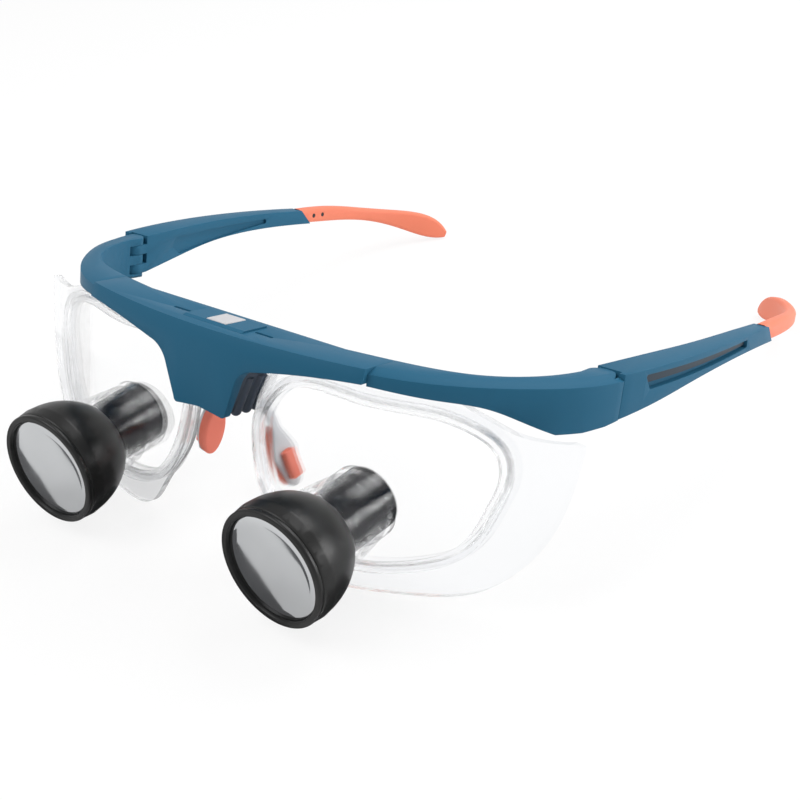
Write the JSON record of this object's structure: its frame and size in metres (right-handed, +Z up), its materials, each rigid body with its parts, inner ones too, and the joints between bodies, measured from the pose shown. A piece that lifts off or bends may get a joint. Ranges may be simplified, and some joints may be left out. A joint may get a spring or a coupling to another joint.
{
  "type": "dental loupes",
  "caption": "Magnifying eyewear: a half-rim frame with a clear wrap shield, framed windows that carry angled telescopes, and folding temples with bent tips.",
  "frame": {"origin": "middle of the accessory plate top face, on the centre line of the brow bar", "axes": "+Z up as it stands on a table, front towards -Y, +X to the wearer left; the temples fall back by 14 degrees"},
  "size_m": [0.1504, 0.1801, 0.0505],
  "materials": {
    "frame_blue": "satin",
    "plate_grey": "matt",
    "bridge_slate": "matt",
    "clear_shield": "clear polished",
    "clear_rim": "clear polished",
    "clear_lens": "clear polished",
    "clear_collar": "clear",
    "black_gloss": "gloss black anodised",
    "black_satin": "satin black anodised",
    "glass": "coated",
    "arm_grey": "matt",
    "pad_coral": "matt",
    "tip_orange": "matt",
    "inlay_slate": "matt",
    "pin_black": "matt",
    "steel": "brushed"
  },
  "bodies": {
    "front": {"accessory_housing": "frame_blue", "accessory_plate": "plate_grey", "barrel_left": "black_gloss", "barrel_right": "black_gloss", "bridge_screws": "steel", "brow_bar": "frame_blue", "brow_cover": "frame_blue", "carrier_lens_left": "clear_lens", "carrier_lens_right": "clear_lens", "eyepiece_lens_left": "glass", "eyepiece_lens_right": "glass", "eyepiece_ring_left": "black_satin", "eyepiece_ring_right": "black_satin", "hinge_pin_left": "steel", "hinge_pin_right": "steel", "lens_collar_left": "clear_collar", "lens_collar_right": "clear_collar", "lens_spacer_left": "black_satin", "lens_spacer_right": "black_satin", "nose_bridge": "bridge_slate", "nose_pad_left": "pad_coral", "nose_pad_right": "pad_coral", "objective_housing_left": "black_satin", "objective_housing_right": "black_satin", "objective_lens_left": "glass", "objective_lens_right": "glass", "objective_ring_left": "black_satin", "objective_ring_right": "black_satin", "pad_arm_left": "arm_grey", "pad_arm_right": "arm_grey", "shield": "clear_shield", "window_rim_left": "clear_rim", "window_rim_right": "clear_rim"},
    "temple_left": {"temple_left": "frame_blue", "temple_inlay_left": "inlay_slate", "temple_tip_left": "tip_orange", "tip_core_left": "steel", "tip_pins_left": "pin_black"},
    "temple_right": {"temple_right": "frame_blue", "temple_inlay_right": "inlay_slate", "temple_tip_right": "tip_orange", "tip_core_right": "steel", "tip_pins_right": "pin_black"}
  },
  "joints": [
    {"name": "temple_hinge_left", "type": "hinge", "parent": "front", "child": "temple_left", "pos_m": [0.0668, 0.03348, -0.01453], "axis": [0, 0.2419, 0.9703], "range_deg": [0, 90]},
    {"name": "temple_hinge_right", "type": "hinge", "parent": "front", "child": "temple_right", "pos_m": [-0.0668, 0.03348, -0.01453], "axis": [0, -0.2419, -0.9703], "range_deg": [0, 77]}
  ]
}
